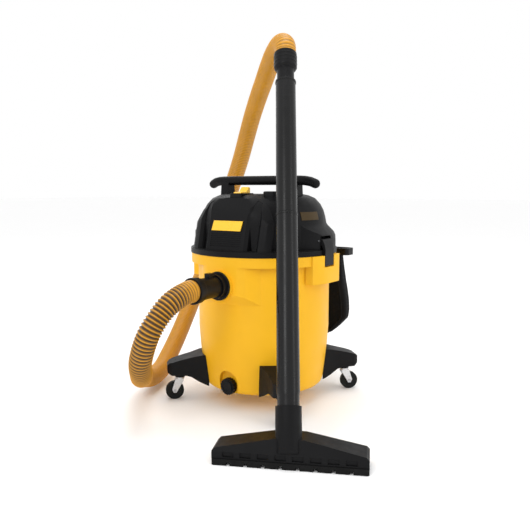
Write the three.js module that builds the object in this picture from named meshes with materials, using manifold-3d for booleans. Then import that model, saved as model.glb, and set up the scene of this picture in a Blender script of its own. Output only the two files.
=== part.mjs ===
// Wet and dry shop vacuum with hose, extension wands and floor nozzle.
// Millimetres, +Z up. The inlet side is the front and faces -Y. Heights below are above the floor;
// the exported group is lowered so that its origin lies in the middle of the drum's flat underside.
import * as THREE from "three";
import { mergeVertices } from "three/addons/utils/BufferGeometryUtils.js";
import Module from "manifold-3d";

const wasm = await Module();
wasm.setup();

// ---- Driving dimensions -------------------------------------------------------------------
const GAP = 0.3; // clearance between pieces that touch
const OVERCUT = 1; // how far a cutting shape runs past the face that it cuts

const DRUM_BOTTOM = 43; // underside of the drum above the floor
const DRUM_RIM = 408;
const DRUM_WALL = 3.5;
const DRUM_BASE_RADIUS = 150;
const DRUM_TOP_RADIUS = 181;
const RING_RADIUS = 199;
const RING_HEIGHT = 25.5;
const RING_SKIRT = 3;

const BOSS_FACE = 207.5; // outer face of the raised pad behind each latch
const BOSS_BOTTOM = 335;
const BOSS_POCKET_TOP = 372;
const LATCH_NOTCH_BOTTOM = 378;
const LATCH_NOTCH_FLOOR = 198;
const LATCH_WIDTH = 45;
const LATCH_NOTCH_WIDTH = 48;
const LATCH_PIN = { x: 190, z: 446, radius: 2, length: 60 };

const INLET_HEIGHT = 335;
const INLET_PAD_FACE = 204;
const INLET_BORE = 27;
const FLANGE_RADIUS = 37;
const FLANGE_FRONT = 209.5;
const CONNECTOR_START = 222.3;
const CONNECTOR_END = 308;

const DRAIN_HEIGHT = 63;
const DRAIN_FLOOR = 155; // recess floor, distance from the axis
const DRAIN_RECESS_RADIUS = 29;
const DRAIN_BORE = 14;
const DRAIN_CAP_RADIUS = 22.5;

const STEM_CIRCLE = 237; // caster stems lie on this radius
const FOOT_ANGLES = { front_left: 225, front_right: 315, rear_right: 45, rear_left: 135 };
const WHEEL_RADIUS = 25;
const WHEEL_WIDTH = 14;
const CASTER_TRAIL = 15;
const FOOT_BOSS_BOTTOM = 62;

const DECK_BOTTOM = DRUM_RIM + GAP;
const DECK_TOP = 412;
const BASE_RING_RADIUS = 201;
const BASE_RING_TOP = 422;
const COVER_WALL = 3.5;
const COVER_TOP = 565;
const PANEL_FACE = 180; // foot of the cover's front panel, distance from the axis
const PANEL_FOOT = 424;
const PANEL_LEAN = 0.24; // how far the front panel leans back for each millimetre of height
const PANEL_HALF_WIDTH = 62;

const HANDLE_CENTRE = { y: -16, z: 601.5 };
const HANDLE_HALF_LENGTH = 168; // to the middle of each round end
const HANDLE_RADIUS = 12.5;
const UPRIGHT_X = 112;

const SWITCH_Y = -103;
const SWITCH_LENGTH = 43;
const SWITCH_WIDTH = 24;
const PORT = { x: 85, y: -85, radius: 24.5, bore: 17, top: 561 };

const CORD_HEIGHT = 445; // the mains cord leaves through the cover's rear wall
const CORD_RADIUS = 4;

const FAN_HOUSING_RADIUS = 80;
const IMPELLER_RADIUS = 68;
const SHAFT_RADIUS = 4;
const MOTOR_RADIUS = 50;
const EYE_RADIUS = 20; // suction hole in the deck, which the float closes
const CAGE_RADIUS = 30;
const CAGE_BOTTOM = 318;
const FLOAT_RADIUS = 24;
const FILTER_RADIUS = 80;
const FILTER_BORE = 52;
const FILTER_BOTTOM = 264;
const FILTER_TOP = DRUM_RIM;

const WAND_TOP = new THREE.Vector3(85, -26.5, 922); // top face of the hose cuff
const WAND_FOOT = new THREE.Vector3(306, -356, 60); // a point on the wand's axis in the nozzle
const WAND_RADIUS = 25.3;
const SPIGOT_RADIUS = 21.9;
const SOCKET_RADIUS = 22.3;
const CUFF_RADIUS = 29.5;
const CUFF_LENGTH = 44;
const UPPER_WAND = { top: 81, bottom: 442.6 }; // distances down the axis from WAND_TOP
const LOWER_WAND_BOTTOM = 886.6;
const SPIGOT_LENGTH = 38;

const NOZZLE_CENTRE = { x: 325, y: -386.2 }; // middle of the sole's front edge
const NOZZLE_TURN = THREE.MathUtils.degToRad(24.6);
const NOZZLE_LENGTH = 331;
const NOZZLE_DEPTH = 72;
const SOLE_HEIGHT = 14;
const NOTCHES = 8;
const COLLAR_RADIUS = 28.7;

const HOSE_RADIUS = 27.5;
const HOSE_SIDES = 12;
const HOSE_STEPS = 30;
const HOSE_ROUTE = [
  [0, -308.3, 335], [0, -320, 335], [-8, -380, 312], [-29, -422, 253], [-62, -420, 183],
  [-106, -376, 128], [-159, -323, 102], [-212, -271, 81], [-258, -215, 55], [-290, -149, 37],
  [-321, -80, 39], [-352, -13, 62], [-378, 52, 97], [-398, 112, 142], [-408, 164, 198],
  [-410, 207, 261], [-403, 239, 329], [-389, 262, 401], [-369, 277, 473], [-344, 284, 544],
  [-314, 285, 614], [-281, 278, 683], [-246, 261, 748], [-205, 234, 807], [-159, 200, 856],
  [-108, 158, 897], [-60, 116, 931], [-12, 70, 952], [30, 32, 962], [62, 0, 956],
  [79.8, -18.9, 942.4], [84.9, -26.36, 922.4],
];

const BAG_PLANE = 203; // front face of the tool bag, distance behind the axis
const BAG_DEPTH = 44;

// ---- Materials ----------------------------------------------------------------------------
const FINISHES = {
  yellow: { color: 0xf5b210, roughness: 0.5, metalness: 0 },
  black: { color: 0x18191b, roughness: 0.55, metalness: 0 },
  rubber: { color: 0x101011, roughness: 0.85, metalness: 0 },
  zinc: { color: 0xb9bcc0, roughness: 0.35, metalness: 0.9 },
  steel: { color: 0x8d9196, roughness: 0.3, metalness: 1 },
  paper: { color: 0xe8e2d2, roughness: 0.95, metalness: 0 },
  olive: { color: 0x6d5f1c, roughness: 0.6, metalness: 0 },
  fabric: { color: 0x151516, roughness: 0.95, metalness: 0 },
};

const vacuum = new THREE.Group();
vacuum.position.z = -DRUM_BOTTOM;

function addPart(name, geometry, finish, parent = vacuum) {
  const mesh = new THREE.Mesh(geometry, new THREE.MeshStandardMaterial(FINISHES[finish]));
  mesh.name = name;
  parent.add(mesh);
  return mesh;
}

// ---- Geometry helpers ---------------------------------------------------------------------
function weld(geometry) {
  const plain = geometry.index ? geometry.toNonIndexed() : geometry.clone();
  plain.deleteAttribute("normal");
  plain.deleteAttribute("uv");
  const merged = mergeVertices(plain, 1e-3);
  const kept = [];
  const index = merged.index.array;
  for (let i = 0; i < index.length; i += 3) {
    const corners = [index[i], index[i + 1], index[i + 2]];
    if (new Set(corners).size === 3) kept.push(...corners);
  }
  return { vertices: merged.attributes.position.array, triangles: kept };
}

function toSolid(geometry) {
  const { vertices, triangles } = weld(geometry);
  const build = (corners) =>
    new wasm.Manifold(
      new wasm.Mesh({
        numProp: 3,
        vertProperties: vertices,
        triVerts: new Uint32Array(corners),
      }),
    );
  const solid = build(triangles);
  return solid.volume() > 0 ? solid : build(triangles.toReversed());
}

function toGeometry(solid) {
  const mesh = solid.getMesh();
  const geometry = new THREE.BufferGeometry();
  geometry.setAttribute("position", new THREE.BufferAttribute(mesh.vertProperties, 3));
  geometry.setIndex(new THREE.BufferAttribute(mesh.triVerts, 1));
  const faceted = geometry.toNonIndexed();
  faceted.computeVertexNormals();
  return faceted;
}

const combine = (shapes, operation) => shapes.map(toSolid).reduce((a, b) => a[operation](b));
const join = (...shapes) => toGeometry(combine(shapes, "add"));
const cut = (...shapes) => toGeometry(combine(shapes, "subtract"));
const common = (...shapes) => toGeometry(combine(shapes, "intersect"));

function outline(points) {
  return new THREE.Shape(points.map(([x, y]) => new THREE.Vector2(x, y)));
}

function circle(radius, sides) {
  const turn = (2 * Math.PI) / sides;
  const corner = (_, i) => [radius * Math.cos(i * turn), radius * Math.sin(i * turn)];
  return outline(Array.from({ length: sides }, corner));
}

// A rectangle with round corners, centred on (x, y).
function roundedBox(width, height, radius, x = 0, y = 0) {
  const [w, h] = [width / 2 - radius, height / 2 - radius];
  const shape = new THREE.Shape();
  shape.absarc(x + w, y + h, radius, 0, Math.PI / 2);
  shape.absarc(x - w, y + h, radius, Math.PI / 2, Math.PI);
  shape.absarc(x - w, y - h, radius, Math.PI, 1.5 * Math.PI);
  shape.absarc(x + w, y - h, radius, 1.5 * Math.PI, 2 * Math.PI);
  return shape;
}

function extrude(shape, depth, curveSegments = 4) {
  return new THREE.ExtrudeGeometry(shape, { depth, bevelEnabled: false, curveSegments });
}

// Prisms: a plan outline raised along Z, an XZ outline along Y, and a YZ outline along X.
const alongZ = (shape, z0, z1, segments) => extrude(shape, z1 - z0, segments).translate(0, 0, z0);
const alongY = (shape, y0, y1, segments) =>
  extrude(shape, y1 - y0, segments).rotateX(Math.PI / 2).translate(0, y1, 0);
const alongX = (shape, x0, x1, segments) =>
  extrude(shape, x1 - x0, segments)
    .applyMatrix4(
      new THREE.Matrix4().makeBasis(
        new THREE.Vector3(0, 1, 0),
        new THREE.Vector3(0, 0, 1),
        new THREE.Vector3(1, 0, 0),
      ),
    )
    .translate(x0, 0, 0);

function box(x0, x1, y0, y1, z0, z1) {
  const geometry = new THREE.BoxGeometry(x1 - x0, y1 - y0, z1 - z0);
  return geometry.translate((x0 + x1) / 2, (y0 + y1) / 2, (z0 + z1) / 2);
}

// A profile of [radius, height] points turned about Z. Its points may run either way round.
function turned(profile, segments = 48) {
  const points = profile.map(([radius, height]) => new THREE.Vector2(radius, height));
  if (THREE.ShapeUtils.area(points) < 0) points.reverse();
  return new THREE.LatheGeometry(points, segments).rotateX(Math.PI / 2);
}

// A closed ring profile turned about Z.
const turnedRing = (profile, segments) => turned([...profile, profile[0]], segments);
const rod = (radius, z0, z1, segments = 24) =>
  turned([[0, z0], [radius, z0], [radius, z1], [0, z1]], segments);

// A solid turned about a line along Y at height z; a profile's heights are distances in front.
const facingFront = (geometry, z) => geometry.rotateX(Math.PI / 2).translate(0, 0, z);

function drumProfile(offset) {
  const bend = (angle) => [
    DRUM_BASE_RADIUS + (16 - offset) * Math.sin(angle),
    DRUM_BOTTOM + offset + (16 - offset) * (1 - Math.cos(angle)),
  ];
  return [
    [0, DRUM_BOTTOM + offset],
    ...[0, 0.3, 0.6, 0.9, 1.2, 1.45].map(bend),
    [177.5 - offset, 153],
    [DRUM_TOP_RADIUS - offset, 205],
  ];
}

// ---- Drum ---------------------------------------------------------------------------------
function latchBoss() {
  const plan = [
    [172, -64], [193, -63], [201, -46], [206, -25], [BOSS_FACE, -5], [BOSS_FACE, 50], [204, 60],
    [172, 62],
  ];
  const pad = alongZ(outline(plan), BOSS_BOTTOM, DRUM_RIM);
  const pocket = box(182, 198, -34, 44, BOSS_BOTTOM - OVERCUT, BOSS_POCKET_TOP);
  return cut(pad, pocket, turned([...drumProfile(DRUM_WALL), [177.5, 500], [0, 500]]));
}

// The wall round the inlet swells out to the ring, with a ramp on each side and underneath.
function inletBoss() {
  const ramp = [[-32, 181], [-26, 189], [-20, 196], [-14, 199], [-7, 199], [0, 199]];
  const mirrored = ramp.slice(0, -1).reverse().map(([angle, radius]) => [-angle, radius]);
  const front = [...ramp, ...mirrored].map(([angle, radius]) => {
    const turn = THREE.MathUtils.degToRad(angle);
    return [radius * Math.sin(turn), -radius * Math.cos(turn)];
  });
  const swell = turned([[0, 285], [181, 285], [199, 312], [199, DRUM_RIM], [0, DRUM_RIM]], 64);
  return common(alongZ(outline([...front, [80, -140], [-80, -140]]), 280, DRUM_RIM - 2), swell);
}

function archShape(radius) {
  const shape = new THREE.Shape();
  shape.moveTo(-radius, DRUM_BOTTOM - 10);
  shape.lineTo(radius, DRUM_BOTTOM - 10);
  shape.absarc(0, 106 - DRAIN_RECESS_RADIUS, radius, 0, Math.PI);
  return shape;
}

function drumGeometry() {
  const outer = drumProfile(0);
  const ringBottom = DRUM_RIM - RING_HEIGHT;
  const shell = turned([
    ...outer,
    [DRUM_TOP_RADIUS, DRUM_RIM - 4],
    [RING_RADIUS - RING_SKIRT, DRUM_RIM - 4],
    [RING_RADIUS - RING_SKIRT, ringBottom],
    [RING_RADIUS, ringBottom],
    [RING_RADIUS, DRUM_RIM],
    [DRUM_TOP_RADIUS - DRUM_WALL, DRUM_RIM],
    ...drumProfile(DRUM_WALL).reverse(),
  ], 64);
  const inletPad = alongY(circle(39, 24), -INLET_PAD_FACE, -178).translate(0, 0, INLET_HEIGHT);
  const hollow = turned([...drumProfile(DRUM_WALL), [177.5, 500], [0, 500]], 64);
  const drainWall = common(
    alongY(archShape(DRAIN_RECESS_RADIUS + 4), -170, -DRAIN_FLOOR + 4),
    turned([...outer, [0, 205]], 64),
  );
  const leftBoss = latchBoss().rotateZ(Math.PI);
  const body = join(shell, latchBoss(), leftBoss, cut(join(inletBoss(), inletPad), hollow), drainWall);
  const notch = box(LATCH_NOTCH_FLOOR, 215, -24, 24, LATCH_NOTCH_BOTTOM, DRUM_RIM + OVERCUT);
  return cut(
    body,
    alongY(archShape(DRAIN_RECESS_RADIUS), -200, -DRAIN_FLOOR),
    alongY(circle(DRAIN_BORE, 24), -180, -140).translate(0, 0, DRAIN_HEIGHT),
    alongY(circle(INLET_BORE, 32), -230, -150).translate(0, 0, INLET_HEIGHT),
    notch,
    notch.clone().rotateZ(Math.PI),
  );
}

addPart("drum", drumGeometry(), "yellow");

// ---- Inlet: flange, deflector and the hose's connector -------------------------------------
const flangeProfile = [
  [23.6, 176], [26.6, 176], [26.6, INLET_PAD_FACE + GAP], [FLANGE_RADIUS, INLET_PAD_FACE + GAP],
  [FLANGE_RADIUS, FLANGE_FRONT - 1.5], [FLANGE_RADIUS - 1.5, FLANGE_FRONT], [31, FLANGE_FRONT],
  [31, 222], [23.6, 222],
];
addPart("inlet_flange", facingFront(turnedRing(flangeProfile, 32), INLET_HEIGHT), "black");

const insideDrum = rod(DRUM_TOP_RADIUS - DRUM_WALL - GAP, 290, 380, 64);
addPart("inlet_deflector", common(insideDrum, cut(
  box(-34, 34, GAP - 176, -134, 298, 372),
  box(-31, 31, -180, -137, 297, 369),
)), "black");

function connectorGeometry() {
  const body = facingFront(turnedRing([
    [19, 182], [23.2, 182], [23.2, CONNECTOR_START], [26.5, CONNECTOR_START], [26.8, 262],
    [28.2, 284], [32, 288], [33, CONNECTOR_END - 2], [32, CONNECTOR_END], [19, CONNECTOR_END],
  ], 32), INLET_HEIGHT);
  return cut(body, box(-8.6, 8.6, -250.6, -228.4, 357.5, 380));
}
addPart("hose_connector", connectorGeometry(), "black");
addPart("connector_lock_tab", box(-8, 8, -250, -229, 359.8, 371.5), "black");

// ---- Drain --------------------------------------------------------------------------------
function drainCapGeometry() {
  const ribs = 18;
  const grip = Array.from({ length: ribs * 2 }, (_, i) => {
    const radius = i % 2 ? DRAIN_CAP_RADIUS : DRAIN_CAP_RADIUS - 1.6;
    const angle = (i * Math.PI) / ribs;
    return [radius * Math.cos(angle), radius * Math.sin(angle)];
  });
  const knob = alongY(outline(grip), -172, -DRAIN_FLOOR - 2.4).translate(0, 0, DRAIN_HEIGHT);
  const face = facingFront(rod(17, 171, 174), DRAIN_HEIGHT);
  const thread = facingFront(rod(DRAIN_BORE - 0.6, 142, 160), DRAIN_HEIGHT);
  return join(knob, face, thread);
}
addPart("drain_cap", drainCapGeometry(), "black");
addPart("drain_seal", facingFront(turnedRing([
  [14.2, DRAIN_FLOOR + GAP], [19, DRAIN_FLOOR + GAP], [19, DRAIN_FLOOR + 2], [14.2, DRAIN_FLOOR + 2],
], 24), DRAIN_HEIGHT), "rubber");

// ---- Feet and casters ---------------------------------------------------------------------
function footGeometry() {
  const plan = (margin) => {
    const [root, waist, end] = [44 - margin, 31 - margin, 27 - margin];
    return outline([
      [140, -root], [168, -root], [208, -waist], [258, -end], [272 - margin, -end + 10],
      [272 - margin, end - 10], [258, end], [208, waist], [168, root], [140, root],
    ]);
  };
  const side = [
    [140, 41], [163, DRUM_BOTTOM + 1], [186, 54], [208, 67], [222, 71], [262, 72], [272, 79],
    [272, 100], [266, 106], [244, 113], [178, 129], [140, 130],
  ];
  const inside = [
    [100, 30], [300, 30], [300, 74], [268, 79], [268, 98], [243, 109], [178, 125], [140, 126],
    [100, 126],
  ];
  const arm = common(alongZ(plan(0), 40, 131), alongY(outline(side), -60, 60));
  const hollow = common(alongZ(plan(4), 20, 131), alongY(outline(inside), -60, 60));
  const boss = rod(14, FOOT_BOSS_BOTTOM, 112, 16).translate(STEM_CIRCLE, 0, 0);
  const bore = rod(5.6, FOOT_BOSS_BOTTOM - OVERCUT, 96, 12).translate(STEM_CIRCLE, 0, 0);
  const drumSide = turned([
    [0, 20], [166 + GAP * 2, 20], [166 + GAP * 2, 60], [178.2, 153], [0, 153],
  ], 64);
  return cut(join(cut(arm, hollow), boss), bore, drumSide);
}

function forkGeometry() {
  const cheek = outline([
    [-9, 58], [13, 58], [22.5, 28], [19, 19], [11, 19], [6, 28], [-9, 52],
  ]);
  const bridge = box(-9, 13, -10.5, 10.5, 55, 58);
  const stem = join(rod(12, 57, FOOT_BOSS_BOTTOM - GAP, 16), rod(5.2, 57, 92, 12));
  const axle = alongY(circle(3.3, 12), -12, 12).translate(CASTER_TRAIL, 0, WHEEL_RADIUS);
  return cut(join(alongY(cheek, 8.5, 10.5), alongY(cheek, -10.5, -8.5), bridge, stem), axle);
}

function wheelGeometry() {
  const half = WHEEL_WIDTH / 2;
  const tread = alongY(circle(WHEEL_RADIUS, 28), -half, half);
  const bore = alongY(circle(3.4, 12), -20, 20);
  return cut(tread, bore);
}

function axleGeometry() {
  const pin = alongY(circle(3, 12), -12, 12);
  const heads = [-1, 1].map((side) => {
    const [near, far] = [10.8, 12.4].map((distance) => distance * side);
    return alongY(circle(4.6, 12), Math.min(near, far), Math.max(near, far));
  });
  return join(pin, ...heads);
}

for (const [corner, angle] of Object.entries(FOOT_ANGLES)) {
  const arm = new THREE.Group();
  arm.rotation.z = THREE.MathUtils.degToRad(angle);
  vacuum.add(arm);
  addPart(`foot_${corner}`, footGeometry(), "black", arm);
  const caster = new THREE.Group();
  caster.position.x = STEM_CIRCLE;
  arm.add(caster);
  addPart(`caster_fork_${corner}`, forkGeometry(), "zinc", caster);
  const hub = new THREE.Group();
  hub.position.set(CASTER_TRAIL, 0, WHEEL_RADIUS);
  caster.add(hub);
  addPart(`caster_wheel_${corner}`, wheelGeometry(), "rubber", hub);
  addPart(`caster_axle_${corner}`, axleGeometry(), "steel", hub);
}

// ---- Head: base, seal and cover -----------------------------------------------------------
const latchNotch = box(LATCH_NOTCH_FLOOR, 215, -24, 24, 400, 430);
addPart("head_base", cut(turnedRing([
  [EYE_RADIUS, DECK_BOTTOM], [168, DECK_BOTTOM], [168, 386], [172, 386], [172, DECK_BOTTOM],
  [BASE_RING_RADIUS, DECK_BOTTOM], [BASE_RING_RADIUS, BASE_RING_TOP], [197.2, BASE_RING_TOP],
  [197.2, DECK_TOP], [EYE_RADIUS, DECK_TOP],
], 64), latchNotch, latchNotch.clone().rotateZ(Math.PI)), "black");

addPart("head_seal", turnedRing([
  [172 + GAP, 392], [177, 394], [177, 400], [172 + GAP, 402],
], 64), "rubber");

// Outer profile of the cover from its ledge to the middle of its top.
const coverProfile = (offset) => [
  [196.6, DECK_TOP + GAP], [196.6, 424], [172.5 + offset, 424 + offset], [172 + offset, 489],
  [169 + offset, 505 + offset / 2], [164 + offset, 522 + offset / 2],
  [155.5 + offset, 538 + offset], [140.5 + offset, 554 + offset], [122, 562 + offset],
  [105, COVER_TOP + offset], [0, COVER_TOP + offset],
];

const coverSolid = (offset) => turned([[0, DECK_TOP + GAP], ...coverProfile(offset)], 56);

// A shoulder that carries a latch. In plan it is a disc set off towards its own side.
function shoulder() {
  const ring = turnedRing([
    [168.5, BASE_RING_TOP + GAP], [200, BASE_RING_TOP + GAP], [200, 440], [197.5, 456], [192, 465],
    [184, 473], [176, 481], [171, 489], [168.5, 489],
  ], 64);
  return common(ring, rod(103, 410, 500, 40).translate(98.5, 17.4, 0));
}

// Leans a shape back like the cover's front panel, about the panel's foot.
const leanBack = (geometry) => geometry.applyMatrix4(new THREE.Matrix4().set(
  1, 0, 0, 0,
  0, 1, PANEL_LEAN, -PANEL_LEAN * PANEL_FOOT,
  0, 0, 1, 0,
  0, 0, 0, 1,
));

// The block round the front panel: a flat middle, a channel on each side and two round pillars.
function frontBlock() {
  const right = [
    [58, -PANEL_FACE], [66, -173], [70, -158], [84, -156], [88, -164], [96, -170], [112, -164],
    [125, -152],
  ];
  const left = right.map(([x, y]) => [-x, y]).reverse();
  const plan = alongZ(outline([...left, ...right]), BASE_RING_TOP + GAP, 575);
  const limit = turned([
    [0, 410], [200, 410], [200, 424], [186, 489], [178, 505], [169, 522], [157.5, 538], [142, 554],
    [122, 562], [105, COVER_TOP], [0, COVER_TOP],
  ], 64);
  return common(leanBack(plan), limit);
}

function panelSection(shift, front) {
  const face = (z) => -PANEL_FACE + (z - PANEL_FOOT) * PANEL_LEAN + shift;
  return outline([
    [face(PANEL_FOOT - shift), PANEL_FOOT - shift], [face(508), 508], [-150 + shift, 530],
    [-134 + shift, 556], [-134 + shift, 600], [front, 600], [front, PANEL_FOOT - shift],
  ]);
}

function coverGeometry() {
  const inside = turned([
    [0, 400], [168.5, 400], [168.5, 489], [165.5, 504], [160.5, 520], [152, 535.5], [138, 550.5],
    [120, 558], [104, COVER_TOP - COVER_WALL], [0, COVER_TOP - COVER_WALL],
  ], 56);
  const portBoss = rod(PORT.radius, 500, PORT.top, 28).translate(PORT.x, PORT.y, 0);
  const shell = cut(join(coverSolid(0), frontBlock(), portBoss), inside);
  const backing = common(
    alongX(panelSection(4, -200), -PANEL_HALF_WIDTH - 4, PANEL_HALF_WIDTH + 4),
    coverSolid(0),
  );
  const louvres = [];
  for (let i = 0; i < 7; i++) {
    const z = 433 + i * 5;
    const slit = box(-48, 48, -PANEL_FACE - OVERCUT, -PANEL_FACE + 1.6, z, z + 2);
    louvres.push(leanBack(slit));
  }
  const body = join(shell, backing, shoulder(), shoulder().rotateZ(Math.PI));
  const slot = box(180, 215, -24, 24, 421, 458);
  const pin = LATCH_PIN;
  const pinHole = alongY(circle(pin.radius + GAP, 12), -31, 31).translate(pin.x, 0, pin.z);
  return cut(
    body,
    alongX(panelSection(0, -220), -PANEL_HALF_WIDTH, PANEL_HALF_WIDTH),
    ...louvres,
    slot,
    slot.clone().rotateZ(Math.PI),
    pinHole,
    pinHole.clone().rotateZ(Math.PI),
    box(-13, 13, SWITCH_Y - 24, SWITCH_Y + 24, 530, 580),
    rod(PORT.bore, 520, 580).translate(PORT.x, PORT.y, 0),
    alongY(circle(CORD_RADIUS, 20), 150, 190).translate(0, 0, CORD_HEIGHT),
  );
}
addPart("head_cover", coverGeometry(), "black");

const aboveCover = (geometry) => cut(geometry, coverSolid(GAP + 0.1));

// ---- Handle, switch, plates and port ------------------------------------------------------
function handleGeometry() {
  const { y, z } = HANDLE_CENTRE;
  const half = HANDLE_HALF_LENGTH;
  const right = [[60, y, z], [110, y, z], [140, y + 1, z - 1], [157, y + 3, z - 4]];
  const tip = [half, y + 6, z - 9];
  const mirrored = [...right, tip].map(([px, py, pz]) => [-px, py, pz]).reverse();
  const path = [...mirrored, [0, y, z], ...right, tip].map((p) => new THREE.Vector3(...p));
  const bar = new THREE.ExtrudeGeometry(circle(HANDLE_RADIUS, 12), {
    steps: 24,
    extrudePath: new THREE.CatmullRomCurve3(path),
    bevelEnabled: false,
  });
  const uprights = [-1, 1].map((side) => alongX(outline([
    [y - 19, 545], [y + 19, 545], [y + 15, 590], [y + 9, z], [y - 9, z], [y - 15, 590],
  ]), side * UPRIGHT_X - 12, side * UPRIGHT_X + 12));
  const ends = [-1, 1].map((side) =>
    new THREE.SphereGeometry(HANDLE_RADIUS, 12, 8).translate(side * half, y + 6, z - 9));
  return aboveCover(join(bar, ...ends, ...uprights));
}
addPart("handle", handleGeometry(), "black");

addPart("switch_bezel", aboveCover(cut(
  alongZ(roundedBox(37, 60, 5, 0, SWITCH_Y), 553, COVER_TOP + 3),
  box(-13.3, 13.3, SWITCH_Y - 24.3, SWITCH_Y + 24.3, 550, 580),
)), "black");

const rockerSection = outline([
  [-0.5, 0], [0.5, 0], [0.5, 0.6], [0.36, 0.7], [0.1, 0.3], [-0.4, 0.28], [-0.5, 0.18],
].map(([u, v]) => [SWITCH_Y + u * SWITCH_LENGTH, 562 + v * 32]));
addPart("switch_rocker", alongX(rockerSection, -SWITCH_WIDTH / 2, SWITCH_WIDTH / 2), "yellow");

addPart("name_plate", leanBack(alongY(outline([
  [-48, 473], [44, 473], [48, 498], [-44, 498],
]), -PANEL_FACE - 3, -PANEL_FACE - GAP)), "yellow");

addPart("rating_label", common(
  cut(coverSolid(1.6), coverSolid(GAP + 0.1)),
  box(150, 190, -33, 33, 499, 520).rotateZ(-0.18),
), "olive");

const portCap = join(
  turned([
    [0, PORT.top + GAP], [PORT.radius - 0.5, PORT.top + GAP], [PORT.radius - 0.5, PORT.top + 10],
    [PORT.radius - 3, PORT.top + 12], [0, PORT.top + 12],
  ], 24).translate(PORT.x, PORT.y, 0),
);
addPart("blower_port_cap", join(
  aboveCover(portCap),
  rod(PORT.bore - 0.6, 552, 568).translate(PORT.x, PORT.y, 0),
), "black");

addPart("cord_gland", turnedRing([
  [CORD_RADIUS, 173], [13, 173], [13, 176], [8.5, 177], [7, 190], [CORD_RADIUS, 190],
], 20).rotateX(-Math.PI / 2).translate(0, 0, CORD_HEIGHT), "rubber");

// ---- Latches ------------------------------------------------------------------------------
function latchGeometry() {
  const { x, z, radius } = LATCH_PIN;
  const strap = outline([
    [199.2, 381], [206.8, 381], [206.8, 424], [203.5, 438], [198, 449], [x, z + 7],
    [x - 5.5, z + 4.5], [x - 7, z], [x - 5, z - 5], [x, z - 8], [196, 432], [199.2, 422],
  ]);
  const hole = alongY(circle(radius + GAP, 12), -40, 40).translate(x, 0, z);
  return cut(alongY(strap, -LATCH_WIDTH / 2, LATCH_WIDTH / 2), hole);
}

function addLatch(side, turn) {
  const group = new THREE.Group();
  group.rotation.z = turn;
  vacuum.add(group);
  addPart(`latch_${side}`, latchGeometry(), "black", group);
  const half = LATCH_PIN.length / 2;
  const pin = alongY(circle(LATCH_PIN.radius, 12), -half, half);
  addPart(`latch_pin_${side}`, pin.translate(LATCH_PIN.x, 0, LATCH_PIN.z), "steel", group);
}
addLatch("right", 0);
addLatch("left", Math.PI);

// ---- Motor, fan, float and filter ---------------------------------------------------------
addPart("fan_housing", turnedRing([
  [30, DECK_TOP + GAP], [FAN_HOUSING_RADIUS, DECK_TOP + GAP], [FAN_HOUSING_RADIUS, 452], [12, 452],
  [12, 449], [FAN_HOUSING_RADIUS - 3, 449], [FAN_HOUSING_RADIUS - 3, 415.5], [30, 415.5],
], 32), "black");

function impellerGeometry() {
  const disc = rod(IMPELLER_RADIUS, 420, 422, 32);
  const hub = rod(11, 420, 444, 20);
  const vanes = [];
  for (let i = 0; i < 8; i++) {
    vanes.push(box(10, IMPELLER_RADIUS - 2, -1, 1, 421, 443).rotateZ((i * Math.PI) / 4));
  }
  return cut(join(disc, hub, ...vanes), rod(SHAFT_RADIUS + GAP, 400, 460, 16));
}
addPart("impeller", impellerGeometry(), "steel");
addPart("motor_shaft", rod(SHAFT_RADIUS, 417, 524, 16), "steel");
addPart("motor", turned([
  [0, 527], [SHAFT_RADIUS + 1, 527], [SHAFT_RADIUS + 1, 452 + GAP], [30, 452 + GAP],
  [MOTOR_RADIUS, 460], [MOTOR_RADIUS, 522], [36, 532], [0, 532],
], 28), "steel");

function floatCageGeometry() {
  const wall = turnedRing([
    [CAGE_RADIUS - 3, CAGE_BOTTOM + 3], [CAGE_RADIUS - 3, 405], [EYE_RADIUS, 405],
    [EYE_RADIUS, DRUM_RIM], [46, DRUM_RIM], [46, 405], [CAGE_RADIUS, 405],
    [CAGE_RADIUS, CAGE_BOTTOM], [6, CAGE_BOTTOM], [6, CAGE_BOTTOM + 3],
  ], 32);
  const windows = [];
  for (let i = 0; i < 6; i++) {
    windows.push(box(20, 44, -7, 7, 330, 398).rotateZ((i * Math.PI) / 3));
  }
  return cut(wall, ...windows);
}
addPart("float_cage", floatCageGeometry(), "black");
const floatBall = new THREE.SphereGeometry(FLOAT_RADIUS, 20, 12).rotateX(Math.PI / 2);
addPart("float_ball", floatBall.translate(0, 0, CAGE_BOTTOM + 3 + GAP + FLOAT_RADIUS), "yellow");

function filterGeometry() {
  const pleats = 32;
  const star = Array.from({ length: pleats * 2 }, (_, i) => {
    const radius = i % 2 ? FILTER_RADIUS : FILTER_RADIUS - 12;
    const angle = (i * Math.PI) / pleats;
    return [radius * Math.cos(angle), radius * Math.sin(angle)];
  });
  const bore = rod(FILTER_BORE, FILTER_BOTTOM - OVERCUT, FILTER_TOP + OVERCUT, 32);
  return cut(alongZ(outline(star), FILTER_BOTTOM, FILTER_TOP), bore);
}
addPart("filter", filterGeometry(), "paper");
addPart("filter_cap", join(
  rod(FILTER_RADIUS + 3, FILTER_BOTTOM - 7, FILTER_BOTTOM - GAP, 32),
  box(-30, 30, -4, 4, FILTER_BOTTOM - 20, FILTER_BOTTOM - 6),
), "black");

// ---- Hose ---------------------------------------------------------------------------------
const hoseCurve = new THREE.CatmullRomCurve3(HOSE_ROUTE.map((p) => new THREE.Vector3(...p)));
addPart("hose", new THREE.ExtrudeGeometry(circle(HOSE_RADIUS, HOSE_SIDES), {
  steps: HOSE_STEPS,
  extrudePath: hoseCurve,
  bevelEnabled: false,
}), "yellow");

// ---- Wands: heights in this group run down the wand's axis from the top of the cuff ---------
const wandAxis = WAND_TOP.clone().sub(WAND_FOOT).normalize();
const wands = new THREE.Group();
wands.position.copy(WAND_TOP);
wands.quaternion.setFromUnitVectors(new THREE.Vector3(0, 0, 1), wandAxis);
vacuum.add(wands);

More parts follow.
